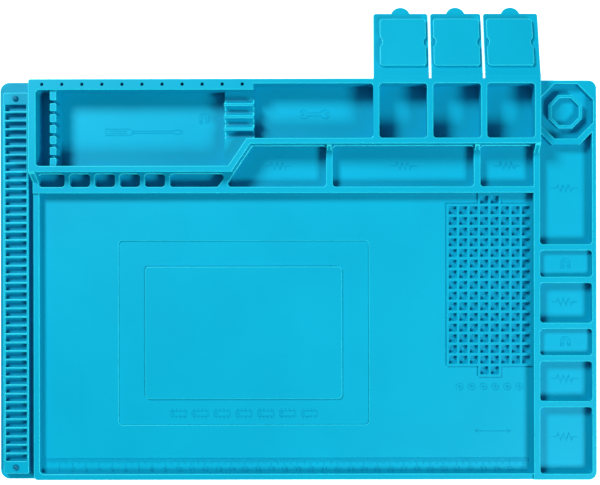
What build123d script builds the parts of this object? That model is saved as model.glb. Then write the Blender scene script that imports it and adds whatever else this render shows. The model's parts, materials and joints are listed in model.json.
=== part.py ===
"""Silicone soldering and repair mat: one moulded sheet with trays, bins, a card rack and three hinged lids.

Millimetres. X runs along the mat, Y runs to its rear edge and Z is up.
The origin is the middle of the underside, so the mat lies on Z = 0.
The moulding is written as regions that meet face to face on the base sheet.
"""

from build123d import *
from math import hypot, radians, sqrt, tan
import os

# The whole mat
mat_length = 450.0
mat_width = 300.0
sheet_thickness = 2.0
sheet_corner = 7.0
sheet_lip = 0.5

# Heights above the table
floor_top = 4.5
recess_floor = 3.5
plateau_top = 5.0
rack_top = 8.0
rim_top = 11.0
row_top = 13.0
tall_top = 25.0

# Walls and how their edges are finished
wall = 4.6
pocket_corner = 2.4
rim_round = 0.7
edge_round = 0.4

# Outer faces of the walls
rear = mat_width / 2 - sheet_lip
front = -rear
right = mat_length / 2 - sheet_lip
left = -197.5

# Work area
work_left = left + wall
work_right = 177.4
work_rear = 65.5
work_front = front + wall
work_corner = 3.0
outer_corner = 2.0

# Recess for a circuit board, with a raised plateau inside it
recess_size = (189.0, 139.0)
plateau_size = (148.6, 100.0)
recess_centre = (-40.5, -39.6)
recess_round = 0.4
plateau_round = 0.5

# Grid of screw cells
grid_columns = 8
grid_rows = 15
grid_pitch = (7.9, 8.05)
grid_cell = 6.3
grid_rib = grid_pitch[0] - grid_cell
grid_top = 5.8
grid_floor = 2.3
grid_cell_corner = 0.8
bump_columns = 2
bump_first_column = 3
grid_flare = 10.0

# Card rack at the left edge
rack_left = -221.0
rack_right = -202.0
rack_rear = 141.5
rack_front = -145.0
rack_slots = 42
rack_pitch = 6.42
rack_rib = 1.4
rack_floor = 3.0
rack_slot_length = 16.0
rack_slots_centre = -1.5
stud_radius = 2.3
stud_height = 1.8
rack_corner = 1.5
rack_round = 0.5

# Tall trays along the rear
tall_front = 80.7
tray_end = -31.0
tray_side_wall = 5.7
rail_width = 8.2
hole_radius = 1.25
hole_depth = 12.0
hole_pitch = 14.8
hole_count = 11
first_hole_x = -187.3
hole_inset = 4.0
comb_left = -181.9
comb_width = 4.8
comb_top = 23.0
comb_sill = 12.0
comb_slots = 6
comb_slot_width = 2.3
comb_tooth_corner = 0.9
comb_round = 0.5
comb_slot_pitch = 8.1
comb_first_slot = 92.4
diagonal_low = (-47.5, tall_front)
diagonal_high = (-33.5, 101.4)
bins_front = diagonal_high[1] + 4.3
bins_rear = rear - 3.7

# Saddle that tools rest across, between the tool tray and the tools bin
rest_left = -53.4
rest_top = 20.0
rest_ledge_top = 16.0
rest_pitch = 9.05
rest_first_groove = 135.4
rest_grooves = 4
rest_groove_radius = 3.4
rest_groove_depth = 6.5
rest_ridge_round = 0.6
rest_end_gap = 0.4

# Tools bin and the three lidded boxes
tools_left = tray_end
tools_right = 57.4
box_pitch = 39.8
box_width = 35.2
box_count = 3
first_box = tools_right + wall
tall_right = first_box + box_count * box_pitch

# Lids, drawn open: each hangs down behind the mat from a thin web
lid_gap = 1.8
lid_side = 0.2
lid_length = 52.0
lid_thickness = 1.6
lid_corner = 2.0
lid_droop = 20.0
lid_drop_below_rim = 0.2
hinge_y = rear + 2.5
hinge_clear = 1.6
web_thickness = 1.0
tab_radius = 7.2
tab_reach = 5.2
plug_clearance = 0.4
plug_height = 3.0
plug_notch_radius = 5.5
plug_notch_depth = 1.8

# Low bins in front of the tall trays
row_front = work_rear
row_rim = 4.8
cell_width = 15.0
cell_pitch = 18.7
first_cell = (-192.8, -173.7)
cell_count = 4
second_cell_left = -169.7
long_cell_left = -94.8
bin_a_end = 22.1
bin_b = (27.1, 132.6)
bin_c = (137.7, work_right)
row_ledge = 0.9
ramp_length = 6.5
gusset_length = 4.2
gusset_rise = 4.0

# Column of bins at the right edge
column_wall = 3.4
column_pocket = (182.2, right - column_wall)
column_divider = 4.7
column_lengths = (49.7, 29.6, 19.7, 29.6, 19.7)
column_magnetic = (3, 5)
magnetic_floor = 8.0
column_corner = 6.0

# Octagonal cup with a ring in it
cup_flats = 40.8
cup_wall = 4.6
cup_front = diagonal_high[1]
cup_centre = (201.6, cup_front + cup_wall + cup_flats / 2)
ring_flats = 25.2
ring_bore_flats = 20.4
ring_top = 10.0
ring_round = 0.5

# Magnets moulded in under the magnetic floors
side_magnet = (34.0, 14.0, 3.0)
tray_magnet = (30.0, 14.0, 1.5)
tray_magnet_centre = (-70.0, 122.0)
magnet_clearance = 0.1

# How far a cut runs past an open side, and how closely two places must agree
over = 5.0
near = 0.01


def finish(block, name):
    """Name a finished piece and write it to its own file."""
    block.part.label = name
    export_step(block.part, f"parts/{name}.step")


def at(shapes, axis, place):
    """The faces or edges whose middle is at one place along an axis."""
    return shapes.filter_by_position(axis, place - near, place + near)


def on_seam(edge, seam):
    """Whether an edge lies along the straight seam between two points, seen from above."""
    (start_x, start_y), (end_x, end_y) = seam
    run = hypot(end_x - start_x, end_y - start_y)
    ends = (edge @ 0, edge @ 1)
    away = [(p.X - start_x) * (end_y - start_y) - (p.Y - start_y) * (end_x - start_x) for p in ends]
    return all(abs(distance) < near * run for distance in away)


def rim_edges(block, top, *seams):
    """The edges round a top face, without those on a seam with the next region."""
    edges = at(block.faces(), Axis.Z, top).edges()
    return edges.filter_by(lambda edge: not any(on_seam(edge, seam) for seam in seams))


def slab(x_range, y_range, bottom, top):
    """Add a plain rectangular slab to the piece being made."""
    with BuildSketch(Plane.XY.offset(bottom)) as profile:
        with Locations(((x_range[0] + x_range[1]) / 2, (y_range[0] + y_range[1]) / 2)):
            Rectangle(x_range[1] - x_range[0], y_range[1] - y_range[0])
    extrude(profile.sketch, amount=top - bottom)


def prism(points, bottom, top, mode=Mode.ADD, rounded=(), radius=pocket_corner):
    """Add or cut an upright prism with a straight-sided outline, some of its corners rounded."""
    with BuildSketch(Plane.XY.offset(bottom)) as profile:
        with BuildLine():
            Polyline(*points, close=True)
        make_face()
        if rounded:
            fillet([profile.vertices().sort_by_distance(points[i])[0] for i in rounded], radius)
    extrude(profile.sketch, amount=top - bottom, mode=mode)


def pocket(x_range, y_range, top, floor, corner=pocket_corner):
    """Cut a rectangular pocket with rounded corners."""
    with BuildSketch(Plane.XY.offset(floor)) as profile:
        with Locations(((x_range[0] + x_range[1]) / 2, (y_range[0] + y_range[1]) / 2)):
            RectangleRounded(x_range[1] - x_range[0], y_range[1] - y_range[0], corner)
    extrude(profile.sketch, amount=top - floor, mode=Mode.SUBTRACT)


def cavity(centre, size):
    """Cut the space for a magnet out of the underside of a region."""
    with BuildSketch(Plane.XY.offset(sheet_thickness)) as profile:
        with Locations(centre):
            Rectangle(size[0] + magnet_clearance, size[1] + magnet_clearance)
    extrude(profile.sketch, amount=size[2] + magnet_clearance, mode=Mode.SUBTRACT)


def octagon(centre, flats, bottom, top, mode=Mode.ADD):
    """Add or cut an upright octagonal prism, given its width across flats."""
    with BuildSketch(Plane.XY.offset(bottom)) as profile:
        with Locations(centre):
            RegularPolygon(flats / 2, 8, major_radius=False, rotation=22.5)
    extrude(profile.sketch, amount=top - bottom, mode=mode)


def along_diagonal(y, aside):
    """The point at one Y of the line beside the diagonal wall's low face, a distance to its right."""
    run_x = diagonal_high[0] - diagonal_low[0]
    run_y = diagonal_high[1] - diagonal_low[1]
    return (diagonal_low[0] + (y - diagonal_low[1]) * run_x / run_y + aside * hypot(run_x, run_y) / run_y, y)


def ramp(start_x, end_x, high_y, high_z, length):
    """Add the slope that runs from a tall wall down to a low rim."""
    with BuildSketch(Plane.YZ.offset(start_x)) as profile:
        with BuildLine():
            Polyline(
                (high_y, row_top - rim_round),
                (high_y, high_z),
                (high_y - length, row_top),
                (high_y - length, row_top - rim_round),
                close=True,
            )
        make_face()
    extrude(profile.sketch, amount=end_x - start_x)


def is_hole_edge(edge):
    """Whether an edge is the mouth of one of the rail's small holes."""
    return edge.geom_type == GeomType.CIRCLE and edge.radius < hole_radius + near


os.makedirs("parts", exist_ok=True)

# Base sheet: the thin skin that everything stands on
with BuildPart() as base_sheet:
    with BuildSketch():
        RectangleRounded(mat_length, mat_width, sheet_corner)
    extrude(amount=sheet_thickness)
    fillet(rim_edges(base_sheet, sheet_thickness), sheet_lip)
finish(base_sheet, "base_sheet")

# Work panel: the flat work floor, open for the board recess and for the screw grid
grid_length = grid_columns * grid_pitch[0] + grid_rib
grid_width = grid_rows * grid_pitch[1] + grid_rib
grid_right = work_right
grid_left = grid_right - grid_length
grid_rear = work_rear - grid_pitch[1]
grid_front = grid_rear - grid_width
grid_centre = (grid_right - grid_length / 2, grid_rear - grid_width / 2)
bump_left = grid_left + bump_first_column * grid_pitch[0]
bump_right = bump_left + bump_columns * grid_pitch[0] + grid_rib
grid_outline = (
    (grid_left, grid_front),
    (bump_left, grid_front),
    (bump_left, grid_front - grid_pitch[1]),
    (bump_right, grid_front - grid_pitch[1]),
    (bump_right, grid_front),
    (grid_right, grid_front),
    (grid_right, grid_rear),
    (bump_right, grid_rear),
    (bump_right, grid_rear + grid_pitch[1]),
    (bump_left, grid_rear + grid_pitch[1]),
    (bump_left, grid_rear),
    (grid_left, grid_rear),
)
work_area = (
    (work_left, work_front),
    (work_right, work_front),
    (work_right, work_rear),
    (work_left, work_rear),
)
with BuildPart() as work_panel:
    prism(work_area, sheet_thickness, floor_top, rounded=(0,), radius=work_corner)
    with BuildSketch(Plane.XY.offset(sheet_thickness)):
        with Locations(recess_centre):
            RectangleRounded(*recess_size, work_corner)
    extrude(amount=floor_top - sheet_thickness, mode=Mode.SUBTRACT)
    recess_rim = at(work_panel.faces(), Axis.Z, floor_top)[0].inner_wires()[0].edges()
    fillet(recess_rim, recess_round)
    prism(grid_outline, sheet_thickness, floor_top, Mode.SUBTRACT)
finish(work_panel, "work_panel")

# Board recess: the lower floor round the plateau
with BuildPart() as board_recess:
    with BuildSketch(Plane.XY.offset(sheet_thickness)):
        with Locations(recess_centre):
            RectangleRounded(*recess_size, work_corner)
    extrude(amount=recess_floor - sheet_thickness)
finish(board_recess, "board_recess")

# Board plateau: holds a circuit board up inside the recess
with BuildPart() as board_plateau:
    with BuildSketch(Plane.XY.offset(recess_floor)):
        with Locations(recess_centre):
            RectangleRounded(*plateau_size, work_corner)
    extrude(amount=plateau_top - recess_floor)
    fillet(rim_edges(board_plateau, plateau_top), plateau_round)
finish(board_plateau, "board_plateau")

# Screw grid: shallow cells that keep screws in the order they came out
with BuildPart() as screw_grid:
    prism(grid_outline, sheet_thickness, grid_top)
    with BuildSketch(Plane.XY.offset(grid_top)):
        with Locations(grid_centre):
            with GridLocations(*grid_pitch, grid_columns, grid_rows):
                RectangleRounded(grid_cell, grid_cell, grid_cell_corner)
            with GridLocations(grid_pitch[0], (grid_rows + 1) * grid_pitch[1], 2, 2):
                RectangleRounded(grid_cell, grid_cell, grid_cell_corner)
    extrude(amount=grid_floor - grid_top, taper=grid_flare, mode=Mode.SUBTRACT)
finish(screw_grid, "screw_grid")

# Work rim: the low wall at the left and front of the work area
rim_outline = (
    (left, front),
    (work_right, front),
    (work_right, work_front),
    (work_left, work_front),
    (work_left, work_rear),
    (left, work_rear),
)
with BuildPart() as work_rim:
    prism(rim_outline, sheet_thickness, rim_top, rounded=(0, 3), radius=work_corner)
    rim_right = ((work_right, front), (work_right, work_front))
    rim_rear = ((left, work_rear), (work_left, work_rear))
    fillet(rim_edges(work_rim, rim_top, rim_right, rim_rear), rim_round)
finish(work_rim, "work_rim")

# Card rack: a trough with a rib between every two slots
slots_length = rack_slots * rack_pitch - rack_rib
rack_middle = (rack_left + rack_right) / 2
slot_range = (rack_middle - rack_slot_length / 2, rack_middle + rack_slot_length / 2)
trough_front = rack_slots_centre - slots_length / 2
with BuildPart() as card_rack:
    slab((rack_left, rack_right), (rack_front, rack_rear), sheet_thickness, rack_top)
    fillet(card_rack.edges().filter_by(Axis.Z), rack_corner)
    pocket(slot_range, (trough_front, trough_front + slots_length), rack_top, rack_floor, rack_round)
    fillet(rim_edges(card_rack, rack_top), rack_round)
finish(card_rack, "card_rack")

with BuildPart() as card_rack_ribs:
    with BuildSketch(Plane.XY.offset(rack_floor)):
        with Locations((rack_middle, rack_slots_centre)):
            with GridLocations(0, rack_pitch, 1, rack_slots - 1):
                Rectangle(rack_slot_length, rack_rib)
    extrude(amount=rack_top - rack_floor)
    fillet(rim_edges(card_rack_ribs, rack_top).filter_by(Axis.X), rack_round)
finish(card_rack_ribs, "card_rack_ribs")

# Rack studs: a low dome on the land at each end of the trough
stud_places = {
    "rear": (rack_rear + trough_front + slots_length) / 2,
    "front": (rack_front + trough_front) / 2,
}
for stud_end, stud_y in stud_places.items():
    with BuildPart() as rack_stud:
        with BuildSketch(Plane.XZ.offset(-stud_y)):
            with BuildLine():
                crown = (rack_middle, rack_top + stud_height)
                dome = RadiusArc(crown, (rack_middle + stud_radius, rack_top), stud_radius)
                Polyline(dome @ 1, (rack_middle, rack_top), dome @ 0)
            make_face()
        revolve(axis=Axis((rack_middle, stud_y, 0), (0, 0, 1)))
    finish(rack_stud, f"rack_stud_{stud_end}")

# Tool tray: tall walls, a rail of small tool holes and one long floor
tray_outline = (
    (left, tall_front),
    diagonal_low,
    diagonal_high,
    (tray_end, diagonal_high[1]),
    (tray_end, rear),
    (left, rear),
)
comb_right = comb_left + comb_width
well_front = tall_front + wall
well_rear = rear - rail_width
tray_well = (
    (left + tray_side_wall, well_front),
    along_diagonal(well_front, -wall),
    along_diagonal(bins_front, -wall),
    (tray_end + over, bins_front),
    (tray_end + over, well_rear),
    (left + tray_side_wall, well_rear),
)
tray_seam = ((tray_end, diagonal_high[1]), (tray_end, rear))
box_seam = ((tools_right, diagonal_high[1]), (tools_right, rear))
with BuildPart() as tool_tray:
    prism(tray_outline, sheet_thickness, tall_top, rounded=(5,), radius=outer_corner)
    prism(tray_well, floor_top, tall_top, Mode.SUBTRACT, rounded=(0, 5))
    cavity(tray_magnet_centre, tray_magnet)
    with BuildSketch(Plane.XY.offset(tall_top)):
        last_hole_x = first_hole_x + (hole_count - 1) * hole_pitch
        with Locations(((first_hole_x + last_hole_x) / 2, rear - hole_inset)):
            with GridLocations(hole_pitch, 0, hole_count, 1):
                Circle(hole_radius)
    extrude(amount=-hole_depth, mode=Mode.SUBTRACT)
    rim = rim_edges(tool_tray, tall_top, tray_seam)
    fillet(rim - rim.filter_by(is_hole_edge), rim_round)
finish(tool_tray, "tool_tray")

# Tweezer comb: splits a narrow slot off the tray, with notches for tweezers
with BuildPart() as tweezer_comb:
    slab((comb_left, comb_right), (well_front, well_rear), floor_top, comb_top)
    with BuildSketch(Plane.XY.offset(comb_sill)):
        slots_middle = comb_first_slot + (comb_slots - 1) * comb_slot_pitch / 2
        with Locations(((comb_left + comb_right) / 2, slots_middle)):
            with GridLocations(0, comb_slot_pitch, 1, comb_slots):
                Rectangle(comb_width, comb_slot_width)
    extrude(amount=comb_top - comb_sill, mode=Mode.SUBTRACT)
    comb_front_seam = ((comb_left, well_front), (comb_right, well_front))
    comb_rear_seam = ((comb_left, well_rear), (comb_right, well_rear))
    upright = tweezer_comb.edges().filter_by(Axis.Z)
    ends = upright.filter_by(lambda edge: on_seam(edge, comb_front_seam) or on_seam(edge, comb_rear_seam))
    fillet(upright - ends, comb_tooth_corner)
    fillet(rim_edges(tweezer_comb, comb_top, comb_front_seam, comb_rear_seam), comb_round)
finish(tweezer_comb, "tweezer_comb")

# Tool rest: a saddle with round grooves, and a lower ledge in the corner of the tray
rest_right = tray_end - rest_end_gap
rest_ledge = (
    (rest_left, well_front),
    tray_well[1],
    tray_well[2],
    (rest_left, bins_front),
)
with BuildPart() as tool_rest:
    slab((rest_left, rest_right), (bins_front, well_rear), floor_top, rest_top)
    with BuildSketch(Plane.YZ.offset(rest_left)):
        for groove in range(rest_grooves):
            with Locations((rest_first_groove - groove * rest_pitch, rest_top)):
                SlotOverall(2 * rest_groove_depth, 2 * rest_groove_radius, rotation=90)
        with Locations((well_rear, rest_top)):
            Rectangle(2 * (well_rear - rest_first_groove), 2 * rest_groove_depth)
    extrude(amount=rest_right - rest_left, mode=Mode.SUBTRACT)
    fillet(rim_edges(tool_rest, rest_top).filter_by(Axis.X), rest_ridge_round)
    prism(rest_ledge, floor_top, rest_ledge_top)
finish(tool_rest, "tool_rest")

# Tools bin: tall walls, open to the tool rest at its left end
with BuildPart() as tools_bin:
    slab((tools_left, tools_right), (diagonal_high[1], rear), sheet_thickness, tall_top)
    pocket((tools_left - over, tools_right), (bins_front, bins_rear), tall_top, floor_top)
    fillet(rim_edges(tools_bin, tall_top, tray_seam, box_seam), rim_round)
finish(tools_bin, "tools_bin")

# Lidded boxes: three tall boxes in one block
with BuildPart() as lidded_boxes:
    slab((tools_right, tall_right), (diagonal_high[1], rear), sheet_thickness, tall_top)
    for box in range(box_count):
        box_left = first_box + box * box_pitch
        pocket((box_left, box_left + box_width), (bins_front, bins_rear), tall_top, floor_top)
    lid_seam = ((tools_right, rear), (tall_right, rear))
    fillet(rim_edges(lidded_boxes, tall_top, box_seam, lid_seam), rim_round)
finish(lidded_boxes, "lidded_boxes")

# Lids: a plate with a finger tab, and a plug that fills the mouth of its box
lid_frame = Plane((0, hinge_y, tall_top)).rotated((-lid_droop, 0, 0))
lid_face = lid_frame.offset(-lid_drop_below_rim)
lid_up = Axis(lid_face.origin, lid_face.z_dir)
lid_run = Axis(lid_face.origin, lid_face.y_dir)
plug_length = bins_rear - bins_front - 2 * plug_clearance
plug_start = hinge_y - bins_rear + plug_clearance
plug_width = box_width - 2 * plug_clearance
notch_offset = plug_width / 2 + plug_notch_radius - plug_notch_depth
web_top = tall_top - lid_drop_below_rim
web_end = lid_frame.from_local_coords((0, hinge_clear, -lid_drop_below_rim))
web_end_low = lid_frame.from_local_coords((0, hinge_clear, -lid_drop_below_rim - web_thickness))
web_profile = (
    (rear, web_top),
    (hinge_y, web_top),
    (web_end.Y, web_end.Z),
    (web_end_low.Y, web_end_low.Z),
    (hinge_y - web_thickness * tan(radians(lid_droop / 2)), web_top - web_thickness),
    (rear, web_top - web_thickness),
)
for box in range(box_count):
    box_left = first_box + box * box_pitch
    box_middle = box_left + box_width / 2
    lid_left = box_left - wall / 2 + lid_gap / 2 if box else tools_right + lid_side
    is_last = box == box_count - 1
    lid_right = tall_right - lid_side if is_last else box_left + box_width + wall / 2 - lid_gap / 2
    lid_middle = (lid_left + lid_right) / 2
    with BuildPart() as lid:
        with BuildSketch(lid_face):
            with Locations((lid_middle, (hinge_clear + lid_length) / 2)):
                plate = Rectangle(lid_right - lid_left, lid_length - hinge_clear)
            fillet(plate.vertices().group_by(Axis.Y)[-1], lid_corner)
            with Locations((lid_middle, lid_length + tab_reach - tab_radius)):
                Circle(tab_radius)
        extrude(amount=-lid_thickness)
        plate_faces = lid.faces().sort_by(lid_up)
        for plate_face in (plate_faces[0], plate_faces[-1]):
            fillet(plate_face.edges().sort_by(lid_run)[1:], edge_round)
        with BuildSketch(lid_face):
            with Locations((box_middle, plug_start + plug_length / 2)):
                RectangleRounded(plug_width, plug_length, pocket_corner)
                with GridLocations(2 * notch_offset, 0, 2, 1):
                    Circle(plug_notch_radius, mode=Mode.SUBTRACT)
        extrude(amount=plug_height)
        plug_face = lid.faces().sort_by(lid_up)[-1]
        fillet(plug_face.edges(), rim_round)
    finish(lid, f"lid_{box + 1}")

    with BuildPart() as lid_hinge:
        with BuildSketch(Plane.YZ.offset(lid_left)):
            with BuildLine():
                Polyline(*web_profile, close=True)
            make_face()
        extrude(amount=lid_right - lid_left)
    finish(lid_hinge, f"lid_hinge_{box + 1}")

# Small cells: the left half of the low row in front of the tall trays
row_seam = (
    along_diagonal(row_front, row_ledge - wall / 2),
    along_diagonal(tall_front, row_ledge - wall / 2),
)
cells_outline = (
    (left, row_front),
    row_seam[0],
    row_seam[1],
    (left, tall_front),
)
cells_range = (row_front + row_rim, tall_front - row_ledge)
long_cell = (
    (long_cell_left, cells_range[0]),
    along_diagonal(cells_range[0], row_ledge - wall),
    along_diagonal(cells_range[1], row_ledge - wall),
    (long_cell_left, cells_range[1]),
)
cells_rear = ((left, tall_front), row_seam[1])
with BuildPart() as small_cells:
    prism(cells_outline, sheet_thickness, row_top)
    pocket(first_cell, cells_range, row_top, floor_top)
    for cell in range(cell_count):
        cell_left = second_cell_left + cell * cell_pitch
        pocket((cell_left, cell_left + cell_width), cells_range, row_top, floor_top)
    prism(long_cell, floor_top, row_top, Mode.SUBTRACT, rounded=(0, 1, 2, 3))
    fillet(rim_edges(small_cells, row_top, row_seam, cells_rear), rim_round)
    ramp(left, left + wall, tall_front, tall_top - rim_round, ramp_length)
finish(small_cells, "small_cells")

# Parts row: three longer bins, the first with a slanted end
parts_outline = (
    row_seam[0],
    (work_right, row_front),
    (work_right, diagonal_high[1]),
    diagonal_high,
    diagonal_low,
    row_seam[1],
)
parts_range = (row_front + row_rim, diagonal_high[1] - row_ledge)
bin_a = (
    along_diagonal(parts_range[0], row_ledge),
    (bin_a_end, parts_range[0]),
    (bin_a_end, parts_range[1]),
    along_diagonal(parts_range[1], row_ledge),
)
with BuildPart() as parts_row:
    prism(parts_outline, sheet_thickness, row_top)
    prism(bin_a, floor_top, row_top, Mode.SUBTRACT, rounded=(0, 1, 2, 3))
    pocket(bin_b, parts_range, row_top, floor_top)
    pocket((bin_c[0], bin_c[1] + over), parts_range, row_top, floor_top)
    parts_seams = (
        row_seam,
        (row_seam[1], diagonal_low),
        (diagonal_low, diagonal_high),
        (diagonal_high, (work_right, diagonal_high[1])),
        ((work_right, row_front), (work_right, diagonal_high[1])),
    )
    fillet(rim_edges(parts_row, row_top, *parts_seams), rim_round)
    for divider in ((bin_a_end, bin_b[0]), (bin_b[1], bin_c[0])):
        gusset_range = (divider[0] + rim_round, divider[1] - rim_round)
        ramp(*gusset_range, diagonal_high[1], row_top + gusset_rise, gusset_length)
finish(parts_row, "parts_row")

# Side column: six bins down the right edge, two of them shallow with a magnet under the floor
column_outline = (
    (work_right, front),
    (right, front),
    (right, cup_front),
    (work_right, cup_front),
)
magnet_places = []
with BuildPart() as side_column:
    prism(column_outline, sheet_thickness, row_top, rounded=(1,), radius=column_corner)
    bin_front = work_front
    for bin_number, bin_length in enumerate(column_lengths, start=1):
        bin_range = (bin_front, bin_front + bin_length)
        if bin_number in column_magnetic:
            place = (sum(column_pocket) / 2, sum(bin_range) / 2)
            magnet_places.append(place)
            pocket(column_pocket, bin_range, row_top, magnetic_floor)
            cavity(place, side_magnet)
        else:
            pocket(column_pocket, bin_range, row_top, floor_top)
        bin_front = bin_range[1] + column_divider
    pocket(column_pocket, (bin_front, cup_front + over), row_top, floor_top)
    fillet(rim_edges(side_column, row_top, ((work_right, cup_front), (right, cup_front))), rim_round)
    ramp(work_right, tall_right, cup_front, tall_top - rim_round, ramp_length)
    join_range = (row_front + rim_round, row_front + row_rim - rim_round)
    slab((work_right, work_right + rim_round), join_range, row_top - rim_round, row_top)
finish(side_column, "side_column")

# Corner cup: an octagonal well, with the slanted ends of the last side bin in front of it
cup_side = (cup_flats + 2 * cup_wall) * (sqrt(2) - 1) / 2
corner_outline = (
    (tall_right, cup_front),
    (right, cup_front),
    (right, rear),
    (tall_right, rear),
)
with BuildPart() as corner_cup:
    prism(corner_outline, sheet_thickness, row_top, rounded=(2,), radius=column_corner)
    octagon(cup_centre, cup_flats, floor_top, row_top, Mode.SUBTRACT)
    for pocket_x, facing in ((column_pocket[0], -1), (column_pocket[1], 1)):
        facet_x = cup_centre[0] + facing * cup_side
        slanted_end = (
            (facet_x, cup_front),
            (pocket_x, cup_front + abs(pocket_x - facet_x)),
            (pocket_x, cup_front - over),
            (facet_x, cup_front - over),
        )
        prism(slanted_end, floor_top, row_top, Mode.SUBTRACT)
    corner_front = ((tall_right, cup_front), (right, cup_front))
    corner_left = ((tall_right, cup_front), (tall_right, rear))
    fillet(rim_edges(corner_cup, row_top, corner_front, corner_left), rim_round)
finish(corner_cup, "corner_cup")

# Cup ring: an octagonal ring that stands in the octagonal cup
with BuildPart() as cup_ring:
    octagon(cup_centre, ring_flats, floor_top, ring_top)
    octagon(cup_centre, ring_bore_flats, floor_top, ring_top, Mode.SUBTRACT)
    fillet(rim_edges(cup_ring, ring_top), ring_round)
finish(cup_ring, "cup_ring")

# Magnets moulded in under the two shallow bins and the tool tray
for number, place in enumerate(magnet_places, start=1):
    with BuildPart() as bin_magnet:
        with BuildSketch(Plane.XY.offset(sheet_thickness)):
            with Locations(place):
                Rectangle(side_magnet[0], side_magnet[1])
        extrude(amount=side_magnet[2])
    finish(bin_magnet, f"bin_magnet_{number}")

with BuildPart() as tool_tray_magnet:
    with BuildSketch(Plane.XY.offset(sheet_thickness)):
        with Locations(tray_magnet_centre):
            Rectangle(tray_magnet[0], tray_magnet[1])
    extrude(amount=tray_magnet[2])
finish(tool_tray_magnet, "tool_tray_magnet")
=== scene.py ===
import json
import math

import bmesh
import bpy
from mathutils import Euler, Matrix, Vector


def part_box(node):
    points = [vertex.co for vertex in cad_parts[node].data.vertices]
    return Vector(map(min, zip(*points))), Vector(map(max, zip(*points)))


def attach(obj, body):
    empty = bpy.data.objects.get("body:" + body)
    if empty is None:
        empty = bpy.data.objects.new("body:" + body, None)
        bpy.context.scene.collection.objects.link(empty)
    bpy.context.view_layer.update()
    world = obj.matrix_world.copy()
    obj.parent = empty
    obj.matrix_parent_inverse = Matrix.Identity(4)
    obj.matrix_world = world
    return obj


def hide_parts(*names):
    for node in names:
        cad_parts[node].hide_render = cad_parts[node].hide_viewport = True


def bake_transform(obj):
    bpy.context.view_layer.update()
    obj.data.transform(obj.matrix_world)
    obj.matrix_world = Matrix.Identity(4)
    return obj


MM = 0.001

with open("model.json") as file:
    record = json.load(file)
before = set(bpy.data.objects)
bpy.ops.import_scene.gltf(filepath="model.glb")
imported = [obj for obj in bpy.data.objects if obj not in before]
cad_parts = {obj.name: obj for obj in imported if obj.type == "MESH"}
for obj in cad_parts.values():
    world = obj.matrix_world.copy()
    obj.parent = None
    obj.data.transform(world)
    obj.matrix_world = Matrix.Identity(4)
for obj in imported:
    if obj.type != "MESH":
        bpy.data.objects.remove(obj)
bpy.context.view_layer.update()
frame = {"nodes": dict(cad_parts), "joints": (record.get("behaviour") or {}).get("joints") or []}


# ---------------------------------------------------------------- materials

NOISE_RANGE = (0.3, 0.7)
# UPRIGHT, LEVEL_SPAN, FULL_INSIDE and the reach below shape the mask of the painted highlight on upper edges.
UPRIGHT = (0.1, 0.3)
LEVEL_SPAN = 0.04
FULL_INSIDE = (0.97, 0.75)
HIGHLIGHT_REACH = 1.3 * MM


def linear(red, green, blue):
    """A display colour, each channel 0 to 255, as the linear colour that shaders take."""
    def channel(value):
        value /= 255.0
        return value / 12.92 if value <= 0.04045 else ((value + 0.055) / 1.055) ** 2.4
    return (channel(red), channel(green), channel(blue), 1.0)


def noise(tree, scale, detail=2.0, roughness=0.5):
    """A noise texture in object space, its scale in features per metre."""
    where = tree.nodes.new("ShaderNodeTexCoord")
    texture = tree.nodes.new("ShaderNodeTexNoise")
    texture.inputs["Scale"].default_value = scale
    texture.inputs["Detail"].default_value = detail
    texture.inputs["Roughness"].default_value = roughness
    tree.links.new(where.outputs["Object"], texture.inputs["Vector"])
    return texture.outputs["Fac"]


def between(tree, value, low, high):
    """A 0 to 1 value stretched between two numbers."""
    node = tree.nodes.new("ShaderNodeMapRange")
    node.inputs["From Min"].default_value = NOISE_RANGE[0]
    node.inputs["From Max"].default_value = NOISE_RANGE[1]
    node.inputs["To Min"].default_value = low
    node.inputs["To Max"].default_value = high
    tree.links.new(value, node.inputs["Value"])
    return node.outputs["Result"]


def ramp(tree, value, first, second):
    """A blend of two colours by a 0 to 1 value."""
    node = tree.nodes.new("ShaderNodeValToRGB")
    node.color_ramp.elements[0].position = NOISE_RANGE[0]
    node.color_ramp.elements[0].color = first
    node.color_ramp.elements[1].position = NOISE_RANGE[1]
    node.color_ramp.elements[1].color = second
    tree.links.new(value, node.inputs["Fac"])
    return node.outputs["Color"]


def bump(tree, height, strength, distance, onward=None):
    """A bump from a height value, laid over another bump if there is one."""
    node = tree.nodes.new("ShaderNodeBump")
    node.inputs["Strength"].default_value = strength
    node.inputs["Distance"].default_value = distance
    tree.links.new(height, node.inputs["Height"])
    if onward:
        tree.links.new(onward, node.inputs["Normal"])
    return node.outputs["Normal"]


def stretched(tree, value, start, end):
    """A value that runs from 0 at one number to 1 at another, in either direction."""
    node = tree.nodes.new("ShaderNodeMapRange")
    node.inputs["From Min"].default_value = start
    node.inputs["From Max"].default_value = end
    tree.links.new(value, node.inputs["Value"])
    return node.outputs["Result"]


def product(tree, first, second):
    """Two values multiplied."""
    node = tree.nodes.new("ShaderNodeMath")
    node.operation = "MULTIPLY"
    tree.links.new(first, node.inputs[0])
    tree.links.new(second, node.inputs[1])
    return node.outputs["Value"]


def thin_edges(tree, level):
    """Mask of the painted highlight on upper edges: how near a point is to an upper edge, 1 on a round, 0 on
    upright faces and on those that face up.

    A face counts as facing up where the Z of its normal is over level.
    """
    geometry = tree.nodes.new("ShaderNodeNewGeometry")
    split = tree.nodes.new("ShaderNodeSeparateXYZ")
    tree.links.new(geometry.outputs["True Normal"], split.inputs["Vector"])
    upward = split.outputs["Z"]
    tilted = stretched(tree, upward, level, level - LEVEL_SPAN)
    round_only = product(tree, tilted, stretched(tree, upward, *UPRIGHT))
    inside = tree.nodes.new("ShaderNodeAmbientOcclusion")
    inside.inside = True
    inside.samples = 6
    inside.inputs["Distance"].default_value = HIGHLIGHT_REACH
    return product(tree, round_only, stretched(tree, inside.outputs["AO"], *FULL_INSIDE))


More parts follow.
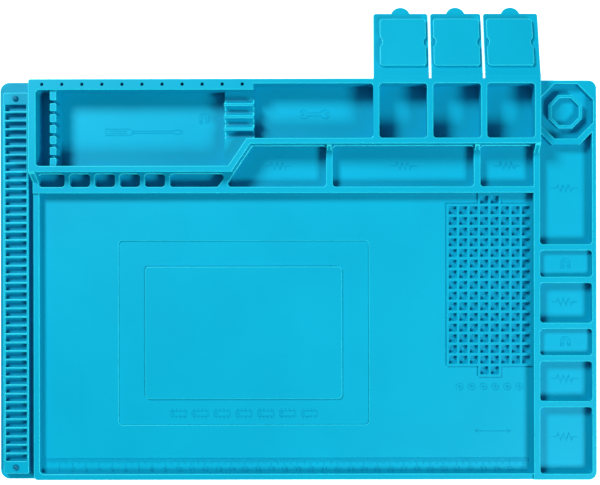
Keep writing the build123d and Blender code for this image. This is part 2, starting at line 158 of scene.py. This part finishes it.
def mixed(tree, share, first, second):
    """One colour laid over another by a 0 to 1 share."""
    node = tree.nodes.new("ShaderNodeMix")
    node.data_type = "RGBA"
    tree.links.new(share, node.inputs["Factor"])
    tree.links.new(first, node.inputs["A"])
    node.inputs["B"].default_value = second
    return node.outputs["Result"]


def silicone(name, deep, pale, edge=None, level=0.999):
    """Soft moulded silicone: a slightly cloudy colour, a painted highlight on the rounded upper edges where
    asked, and a fine matt skin.
    """
    material = bpy.data.materials.new(name)
    material.use_nodes = True
    tree = material.node_tree
    shader = tree.nodes["Principled BSDF"]
    colour = ramp(tree, noise(tree, 14.0, 3.0), deep, pale)
    if edge:
        # Painted highlight: a paler blue laid over the rounded upper edges.
        colour = mixed(tree, thin_edges(tree, level), colour, edge)
    tree.links.new(colour, shader.inputs["Base Color"])
    skin = noise(tree, 1400.0, 3.0, 0.6)
    tree.links.new(between(tree, skin, 0.34, 0.46), shader.inputs["Roughness"])
    ripple = bump(tree, noise(tree, 55.0, 2.0), 0.10, 0.0005)
    tree.links.new(bump(tree, skin, 0.10, 0.0001, ripple), shader.inputs["Normal"])
    shader.inputs["IOR"].default_value = 1.43
    shader.inputs["Specular IOR Level"].default_value = 0.22
    return material


def ferrite(name):
    """Dark flexible magnet strip, sealed under the floor of a bin."""
    material = bpy.data.materials.new(name)
    material.use_nodes = True
    tree = material.node_tree
    shader = tree.nodes["Principled BSDF"]
    grain = noise(tree, 900.0, 4.0)
    tree.links.new(ramp(tree, grain, linear(38, 38, 41), linear(58, 57, 60)), shader.inputs["Base Color"])
    tree.links.new(between(tree, grain, 0.55, 0.75), shader.inputs["Roughness"])
    tree.links.new(bump(tree, grain, 0.3, 0.0001), shader.inputs["Normal"])
    return material


def pale_floor(name):
    """A plain, almost white studio floor."""
    material = bpy.data.materials.new(name)
    material.use_nodes = True
    shader = material.node_tree.nodes["Principled BSDF"]
    shader.inputs["Base Color"].default_value = (0.92, 0.92, 0.92, 1.0)
    shader.inputs["Roughness"].default_value = 0.9
    shader.inputs["Emission Color"].default_value = (1.0, 1.0, 1.0, 1.0)
    shader.inputs["Emission Strength"].default_value = 0.95
    return material


DEEP_BLUE = linear(0, 167, 203)
PALE_BLUE = linear(0, 173, 208)
# Painted shade: a darker copy of the same silicone, for the rack's domed studs.
STUD_SHADE_DEEP = linear(0, 112, 150)
STUD_SHADE_PALE = linear(0, 118, 156)
# Colour of the painted highlight on rounded upper edges, and the normal level where it stops on the tilted
# lids.
HIGHLIGHT_BLUE = linear(50, 245, 255)
LID_HIGHLIGHT_LEVEL = 0.935
# The mat's and the lids' silicone carry the painted edge highlight.
blue = silicone("silicone", DEEP_BLUE, PALE_BLUE, HIGHLIGHT_BLUE)
lid_blue = silicone("silicone_lid", DEEP_BLUE, PALE_BLUE, HIGHLIGHT_BLUE, LID_HIGHLIGHT_LEVEL)
thin_blue = silicone("silicone_thin", DEEP_BLUE, PALE_BLUE)
shaded_stud_blue = silicone("silicone_stud_shaded", STUD_SHADE_DEEP, STUD_SHADE_PALE)
magnet = ferrite("magnet")


def material_of(name):
    """The material of a node, by its name."""
    if "magnet" in name:
        return magnet
    # The studs take the darker copy of the silicone as painted shade.
    if name.startswith("rack_stud"):
        return shaded_stud_blue
    return lid_blue if name.startswith("lid_") else blue


for name, node in frame["nodes"].items():
    node.data.materials.clear()
    node.data.materials.append(material_of(name))


# ---------------------------------------------------------------- mesh tools

def add_piece(name, mesh, body="mat"):
    """A finished piece of silicone that rides on a body."""
    mesh.materials.append(thin_blue)
    piece = bpy.data.objects.new(name, mesh)
    bpy.context.collection.objects.link(piece)
    if body:
        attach(piece, body)
    return piece


STROKE_SECTION = ((-0.5, -0.3), (-0.5, 0.2), (-0.28, 1.0), (0.28, 1.0), (0.5, 0.2), (0.5, -0.3))


def side_of(before, here, after):
    """The mitred sideways direction at one point of a stroke."""
    into = (here - before).normalized() if before is not None else (after - here).normalized()
    out = (after - here).normalized() if after is not None else into
    left_in = Vector((-into.y, into.x))
    left_out = Vector((-out.y, out.x))
    mitre = (left_in + left_out).normalized()
    return mitre / max(0.5, mitre.dot(left_in))


def add_stroke(mesh, points, closed, floor, width, height):
    """Add one raised stroke, wide at its foot and narrower on top, that follows flat points in metres."""
    points = [Vector(p) for p in points]
    count = len(points)
    rings = []
    for i, here in enumerate(points):
        before = points[i - 1] if closed or i else None
        after = points[(i + 1) % count] if closed or i < count - 1 else None
        side = side_of(before, here, after)
        section = []
        for reach, z in STROKE_SECTION:
            spot = here + side * width * reach
            section.append(mesh.verts.new((spot.x, spot.y, floor + z * height)))
        rings.append(section)
    for i in range(count if closed else count - 1):
        first, second = rings[i], rings[(i + 1) % count]
        for k in range(6):
            mesh.faces.new((first[k], first[(k + 1) % 6], second[(k + 1) % 6], second[k]))
    if not closed:
        mesh.faces.new(list(reversed(rings[0])))
        mesh.faces.new(rings[-1])


def raised_marks(name, strokes, floor, width, height):
    """One piece made of raised strokes: each is its points in metres and whether it closes on itself."""
    work = bmesh.new()
    for points, closed in strokes:
        add_stroke(work, points, closed, floor, width, height)
    bmesh.ops.recalc_face_normals(work, faces=work.faces)
    mesh = bpy.data.meshes.new(name)
    work.to_mesh(mesh)
    work.free()
    return add_piece(name, mesh)


def arc(centre_x, centre_y, radius, start, end, steps=16):
    """Points along an arc, in millimetres and degrees."""
    turns = [math.radians(start + (end - start) * k / steps) for k in range(steps + 1)]
    return [(centre_x + radius * math.cos(a), centre_y + radius * math.sin(a)) for a in turns]


def ring(centre_x, centre_y, radius, steps=20):
    """A closed circle."""
    return (arc(centre_x, centre_y, radius, 0, 360 - 360 / steps, steps - 1), True)


def rectangle(width, height):
    """A closed rectangle round the origin."""
    x, y = width / 2, height / 2
    return ([(-x, -y), (x, -y), (x, y), (-x, y)], True)


def placed(strokes, x, y, size=1.0):
    """Strokes drawn in millimetres round their own middle, moved to a place on the mat in metres."""
    return [([(x + px * size * MM, y + py * size * MM) for px, py in points], closed)
            for points, closed in strokes]


# ---------------------------------------------------------------- generic signs, in millimetres

def sign_resistor():
    zigzag = [(-10, 0), (-6, 0)]
    zigzag += [(-5 + 2 * k, 2.6 if k % 2 == 0 else -2.6) for k in range(6)]
    return [(zigzag + [(6, 0), (10, 0)], False)]


def sign_magnet():
    outer = [(-3.4, -3.2)] + arc(0, 0.4, 3.4, 180, 0) + [(3.4, -3.2)]
    inner = [(1.5, -3.2)] + arc(0, 0.4, 1.5, 0, 180) + [(-1.5, -3.2)]
    bars = [([(-3.4, -1.7), (-1.5, -1.7)], False), ([(1.5, -1.7), (3.4, -1.7)], False)]
    return [(outer + inner, True)] + bars


def sign_spanner(length):
    half = length / 2
    jaw = arc(half - 3, 0, 3.2, 200, 330, 10)
    jaw += [(half - 2.6, -0.4), (half - 2.6, 0.4)]
    jaw += arc(half - 3, 0, 3.2, 30, 160, 10)
    other = [(-x, -y) for x, y in jaw]
    return [(jaw + other, True)]


def sign_screwdriver(length):
    half = length / 2
    handle = [(-half, -2.2), (-half + 16, -2.2), (-half + 18, -1.2),
              (-half + 18, 1.2), (-half + 16, 2.2), (-half, 2.2)]
    flutes = [([(-half + 2, y), (-half + 14, y)], False) for y in (-0.8, 0.8)]
    blade = [(-half + 18, 0.7), (half - 6, 0.7), (half - 4, 1.5), (half, 0.9),
             (half, -0.9), (half - 4, -1.5), (half - 6, -0.7), (-half + 18, -0.7)]
    return [(handle, True), (blade, False)] + flutes


def sign_chip():
    legs = [([(x, y), (x, y * 1.8)], False) for x in (-4.5, -1.5, 1.5, 4.5) for y in (-2.0, 2.0)]
    return [rectangle(12, 4), ring(-4.2, 0, 0.6, 10)] + legs


def sign_cross_head():
    return [ring(0, 0, 2.6), ([(-1.3, 0), (1.3, 0)], False), ([(0, -1.3), (0, 1.3)], False)]


def sign_arrow(length):
    half = length / 2
    return [([(-half, 0), (half, 0)], False), ([(half - 2, 1.4), (half, 0), (half - 2, -1.4)], False),
            ([(-half + 2, 1.4), (-half, 0), (-half + 2, -1.4)], False)]


DIGITS = {
    "0": [([(0, 0), (1, 0), (1, 2), (0, 2)], True)],
    "1": [([(0.2, 1.6), (0.6, 2), (0.6, 0)], False)],
    "2": [([(0, 2), (1, 2), (1, 1), (0, 1), (0, 0), (1, 0)], False)],
    "3": [([(0, 2), (1, 2), (1, 0), (0, 0)], False), ([(0.2, 1), (1, 1)], False)],
    "4": [([(0, 2), (0, 1), (1, 1)], False), ([(1, 2), (1, 0)], False)],
    "5": [([(1, 2), (0, 2), (0, 1), (1, 1), (1, 0), (0, 0)], False)],
    "6": [([(1, 2), (0, 2), (0, 0), (1, 0), (1, 1), (0, 1)], False)],
    "7": [([(0, 2), (1, 2), (0.4, 0)], False)],
    "8": [([(0, 0), (1, 0), (1, 2), (0, 2)], True), ([(0, 1), (1, 1)], False)],
    "9": [([(1, 1), (0, 1), (0, 2), (1, 2), (1, 0), (0, 0)], False)],
}


def sign_number(number, step=1.9):
    """The figures of a whole number, centred, each 1 wide and 2 high before scaling."""
    text = str(number)
    start = -(len(text) - 1) * step / 2 - 0.5
    return [([(start + i * step + x, y - 1) for x, y in points], closed)
            for i, figure in enumerate(text) for points, closed in DIGITS[figure]]


# ---------------------------------------------------------------- raised marks on the mat

panel_low, panel_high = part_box("work_panel")
plateau_low, plateau_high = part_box("board_plateau")
grid_low, grid_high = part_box("screw_grid")
column_low, column_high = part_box("side_column")
tray_low, tray_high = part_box("tool_tray")
tools_low, tools_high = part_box("tools_bin")
parts_low, parts_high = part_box("parts_row")
tray_magnet_low, tray_magnet_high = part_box("tool_tray_magnet")
floor_z = panel_high[2]
MARK_HEIGHT = 0.35 * MM
MARK_WIDTH = 0.75 * MM


def middle(low, high, axis):
    """The middle of a box along one axis."""
    return (low[axis] + high[axis]) / 2


def mark(name, strokes, x, y, z=floor_z, size=1.0):
    """One raised sign, with its middle at a place on the mat in metres."""
    return raised_marks(name, placed(strokes, x, y, size), z, MARK_WIDTH, MARK_HEIGHT)


RULE_LENGTH = 364
RULE_START = panel_low[0] + 3 * MM
RULE_TOP = panel_low[1] + 10.7 * MM
RULE_OVERHANG = 0.5 * MM
TICK_WIDTH = 0.4 * MM
TICK_SHORT, TICK_HALF, TICK_LONG = 3.0 * MM, 4.4 * MM, 5.6 * MM
FIGURE_WIDTH = 0.45 * MM
FIGURE_DROP = 8.2 * MM
FIGURE_SIZE = 1.5


def make_rule():
    """A millimetre rule along the front of the work floor, with a figure at each centimetre."""
    end = RULE_START + RULE_LENGTH * MM
    ticks = [([(RULE_START - RULE_OVERHANG, RULE_TOP), (end + RULE_OVERHANG, RULE_TOP)], False)]
    for tick in range(RULE_LENGTH + 1):
        reach = TICK_LONG if tick % 10 == 0 else TICK_HALF if tick % 5 == 0 else TICK_SHORT
        x = RULE_START + tick * MM
        ticks.append(([(x, RULE_TOP), (x, RULE_TOP - reach)], False))
    raised_marks("rule_ticks", ticks, floor_z, TICK_WIDTH, MARK_HEIGHT)
    figures = []
    for centimetre in range(1, RULE_LENGTH // 10 + 1):
        x = RULE_START + centimetre * 10 * MM
        figures += placed(sign_number(centimetre), x, RULE_TOP - FIGURE_DROP, FIGURE_SIZE)
    raised_marks("rule_figures", figures, floor_z, FIGURE_WIDTH, MARK_HEIGHT)


make_rule()

BOARD_SIGNS = 7
BOARD_SIGN_PITCH = 16.5 * MM
BOARD_SIGN_DROP = 11.0 * MM
RECESS_DEPTH = 1.0 * MM
SCREW_SIGNS = 6
SCREW_SIGN_PITCH = 9 * MM
SCREW_SIGN_DROP = 7.5 * MM


def make_row(name, strokes, count, pitch, middle_x, y, z):
    """A row of the same sign, evenly spaced about its middle."""
    for number in range(count):
        x = middle_x + (number - (count - 1) / 2) * pitch
        mark(f"{name}_{number + 1}", strokes, x, y, z)


board_sign_y = plateau_low[1] - BOARD_SIGN_DROP
board_x, board_z = middle(plateau_low, plateau_high, 0), floor_z - RECESS_DEPTH
make_row("board_sign", sign_chip(), BOARD_SIGNS, BOARD_SIGN_PITCH, board_x, board_sign_y, board_z)
screw_sign_y = grid_low[1] - SCREW_SIGN_DROP
grid_x = middle(grid_low, grid_high, 0)
make_row("screw_sign", sign_cross_head(), SCREW_SIGNS, SCREW_SIGN_PITCH, grid_x, screw_sign_y, floor_z)

mark("length_sign", sign_arrow(26), grid_high[0] - 30 * MM, grid_low[1] - 41 * MM)
tray_sign_y = middle(tray_low, tray_high, 1) - 3 * MM
mark("tray_sign", sign_screwdriver(52), tray_low[0] + 82 * MM, tray_sign_y, size=1.1)
tray_sign_x = middle(tray_magnet_low, tray_magnet_high, 0)
mark("tray_magnet_sign", sign_magnet(), tray_sign_x, middle(tray_magnet_low, tray_magnet_high, 1))
mark("tools_sign", sign_spanner(22), middle(tools_low, tools_high, 0), middle(tools_low, tools_high, 1))

PARTS_SIGN_SHARES = (0.192, 0.591, 0.922)
PARTS_SIGN_ASIDE = 2.7 * MM
SIDE_SIGN_SHARES = (0.124, 0.299, 0.530, 0.872)
SIDE_SIGN_ASIDE = 0.9 * MM
MAGNET_COVER = 3 * MM


def make_bin_signs():
    """A sign in each low bin: a resistor, or a magnet where one is under the floor."""
    row_y = middle(parts_low, parts_high, 1) + PARTS_SIGN_ASIDE
    for number, share in enumerate(PARTS_SIGN_SHARES, start=1):
        x = parts_low[0] + share * (parts_high[0] - parts_low[0])
        mark(f"parts_sign_{number}", sign_resistor(), x, row_y)
    column_x = middle(column_low, column_high, 0) + SIDE_SIGN_ASIDE
    for number in (1, 2):
        low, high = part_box(f"bin_magnet_{number}")
        z = high[2] + MAGNET_COVER
        mark(f"bin_magnet_sign_{number}", sign_magnet(), column_x, middle(low, high, 1), z)
    for number, share in enumerate(SIDE_SIGN_SHARES, start=1):
        y = column_low[1] + share * (column_high[1] - column_low[1])
        mark(f"side_sign_{number}", sign_resistor(), column_x, y)


make_bin_signs()


# ---------------------------------------------------------------- lid hinges

WEB_THICKNESS = 1.0 * MM
WEB_THINNED = 0.3 * MM
WEB_CORNER = 0.25 * MM
WEB_FOLD = 0.8 * MM
WEB_STEPS = 28
LID_DROOP = math.radians(20.0)


def smooth(share):
    """A 0 to 1 value eased at both ends."""
    share = min(1.0, max(0.0, share))
    return share * share * (3.0 - 2.0 * share)


def make_web(number):
    """The thin web between the rear wall and a lid, thinned along its fold and bent to a fixed droop."""
    lid = f"lid_{number}"
    joint = next(j for j in frame["joints"] if j["child"] == lid)
    axis_y, axis_z = joint["pos_m"][1], joint["pos_m"][2]
    low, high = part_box(f"lid_hinge_{number}")
    end_top = low[2] + WEB_THICKNESS * math.cos(LID_DROOP)
    work = bmesh.new()
    rings = []
    for step in range(WEB_STEPS + 1):
        y = low[1] + (high[1] - low[1]) * step / WEB_STEPS
        fold = smooth((y - axis_y) / (2 * WEB_FOLD) + 0.5)
        slope_top = end_top + (high[1] - y) * math.tan(LID_DROOP)
        top = min(high[2], high[2] * (1 - fold) + slope_top * fold)
        thick = WEB_THICKNESS - WEB_THINNED * (1 - smooth(abs(y - axis_y) / (1.5 * WEB_FOLD)))
        turn = LID_DROOP * fold

        def spot(x, depth):
            return work.verts.new((x, y - depth * math.sin(turn), top - depth * math.cos(turn)))

        rings.append([spot(low[0], thick), spot(low[0], WEB_CORNER), spot(low[0] + WEB_CORNER, 0.0),
                      spot(high[0] - WEB_CORNER, 0.0), spot(high[0], WEB_CORNER), spot(high[0], thick)])
    for first, second in zip(rings, rings[1:]):
        for k in range(6):
            work.faces.new((first[k], first[(k + 1) % 6], second[(k + 1) % 6], second[k]))
    work.faces.new(rings[0])
    work.faces.new(list(reversed(rings[-1])))
    bmesh.ops.recalc_face_normals(work, faces=work.faces)
    mesh = bpy.data.meshes.new(f"lid_web_{number}")
    work.to_mesh(mesh)
    work.free()
    web = add_piece(f"lid_web_{number}", mesh, body=None)
    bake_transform(web)
    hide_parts(f"lid_hinge_{number}")


for lid_number in (1, 2, 3):
    make_web(lid_number)


# ---------------------------------------------------------------- floor, light and camera

FLOOR_HALF = 20.0
FLOOR_Z = -0.2 * MM
LAMP_SIZE = 0.5
KEY_PLACE, KEY_POWER = (-0.70, 0.82, 1.10), 20.0
FILL_PLACE, FILL_POWER = (0.84, -0.66, 1.00), 16.0
SKY_STRENGTH = 0.1
CAMERA_PLACE = (0.0510, 0.0228, 0.9)
CAMERA_ROLL = math.radians(-0.1)
VIEW_ACROSS = 0.4554
SENSOR = 36.0
SHIFT = (-0.108, 0.0125)


def make_floor():
    """The plain pale floor that the mat lies on."""
    mesh = bpy.data.meshes.new("floor")
    corners = [(x * FLOOR_HALF, y * FLOOR_HALF, FLOOR_Z) for x, y in ((-1, -1), (1, -1), (1, 1), (-1, 1))]
    mesh.from_pydata(corners, [], [(0, 1, 2, 3)])
    floor = bpy.data.objects.new("floor", mesh)
    bpy.context.collection.objects.link(floor)
    mesh.materials.append(pale_floor("pale_floor"))


def make_light(name, place, power):
    """A large soft lamp aimed at the middle of the mat."""
    lamp = bpy.data.lights.new(name, "AREA")
    lamp.shape = "DISK"
    lamp.size = LAMP_SIZE
    lamp.energy = power
    light = bpy.data.objects.new(name, lamp)
    light.location = place
    light.rotation_euler = (-Vector(place)).to_track_quat("-Z", "Y").to_euler()
    bpy.context.collection.objects.link(light)


def make_sky():
    """An even surround, white where the camera sees it past the floor and dimmer as light."""
    world = bpy.data.worlds.new("studio")
    world.use_nodes = True
    tree = world.node_tree
    background = tree.nodes["Background"]
    background.inputs["Color"].default_value = (1.0, 1.0, 1.0, 1.0)
    seen = tree.nodes.new("ShaderNodeLightPath")
    level = tree.nodes.new("ShaderNodeMapRange")
    level.inputs["To Min"].default_value = SKY_STRENGTH
    level.inputs["To Max"].default_value = 1.0
    tree.links.new(seen.outputs["Is Camera Ray"], level.inputs["Value"])
    tree.links.new(level.outputs["Result"], background.inputs["Strength"])
    bpy.context.scene.world = world


def make_camera():
    """Straight above the mat, as the picture was taken."""
    lens = bpy.data.cameras.new("camera")
    lens.sensor_width = SENSOR
    lens.lens = SENSOR * CAMERA_PLACE[2] / VIEW_ACROSS
    lens.shift_x, lens.shift_y = SHIFT
    camera = bpy.data.objects.new("camera", lens)
    camera.location = CAMERA_PLACE
    camera.rotation_euler = Euler((0.0, 0.0, CAMERA_ROLL))
    bpy.context.collection.objects.link(camera)
    bpy.context.scene.camera = camera


bpy.context.scene.view_settings.view_transform = "Standard"
make_floor()
make_sky()
make_light("key", KEY_PLACE, KEY_POWER)
make_light("fill", FILL_PLACE, FILL_POWER)
make_camera()
